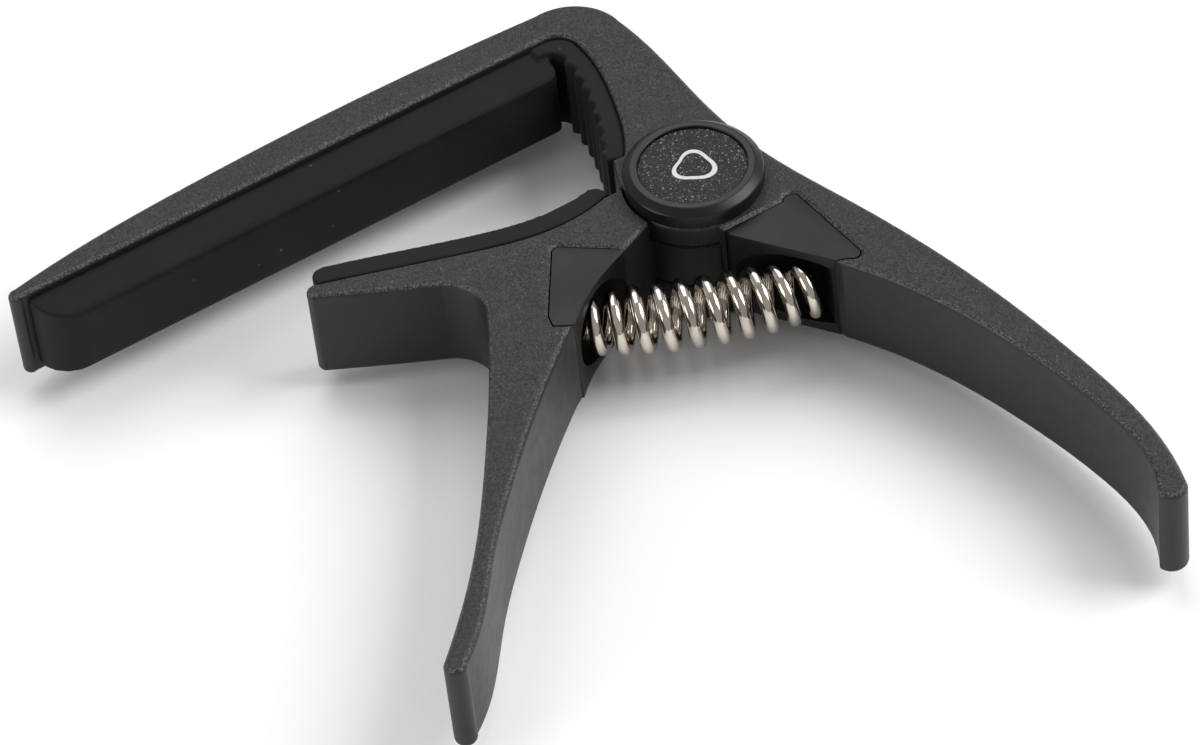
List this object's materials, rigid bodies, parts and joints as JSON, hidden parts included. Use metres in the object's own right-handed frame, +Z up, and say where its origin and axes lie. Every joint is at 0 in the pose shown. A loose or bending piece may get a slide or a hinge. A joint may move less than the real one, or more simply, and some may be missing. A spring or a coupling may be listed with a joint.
{
  "type": "guitar capo",
  "caption": "Spring-loaded guitar capo: two pinned levers with silicone string and neck pads and a coil spring between the handles.",
  "frame": {"origin": "under the centre of the footprint, level with the rear cap's face, on which the capo rests", "axes": "+Z up through the thickness and along the hinge pin; +X along the string pad towards the throat; +Y from the handles to the string arm"},
  "size_m": [0.073, 0.087, 0.014],
  "materials": {
    "lever_plastic": "fine sparkling grain on the faces, satin walls",
    "seat_plastic": "smooth satin black",
    "cap_plastic": "smooth satin black",
    "inlay_plastic": "coarse sparkling grain",
    "pad_silicone": "matte black silicone",
    "spring_nickel": "bright nickel plate",
    "pin_steel": "turned steel",
    "bush_acetal": "smooth acetal"
  },
  "bodies": {
    "upper": {"upper_lever": "lever_plastic", "string_pad": "pad_silicone", "fixed_spring_seat": "seat_plastic", "spring": "spring_nickel", "hinge_pin": "pin_steel", "front_thrust_washer": "bush_acetal", "rear_thrust_washer": "bush_acetal", "pin_clip": "pin_steel", "front_cap": "cap_plastic", "front_inlay": "inlay_plastic", "rear_cap": "cap_plastic", "rear_inlay": "inlay_plastic"},
    "lower": {"lower_lever": "lever_plastic", "neck_pad": "pad_silicone", "moving_spring_seat": "seat_plastic", "hinge_bush": "bush_acetal"}
  },
  "joints": [
    {"name": "lever_hinge", "type": "hinge", "parent": "upper", "child": "lower", "pos_m": [0.02142, 0.01465, 0.007], "axis": [0, 0, 1], "range_deg": [0, 32], "stiffness_Nm_per_rad": 1.2, "springref_deg": -34.38, "deforming": ["spring"]}
  ]
}
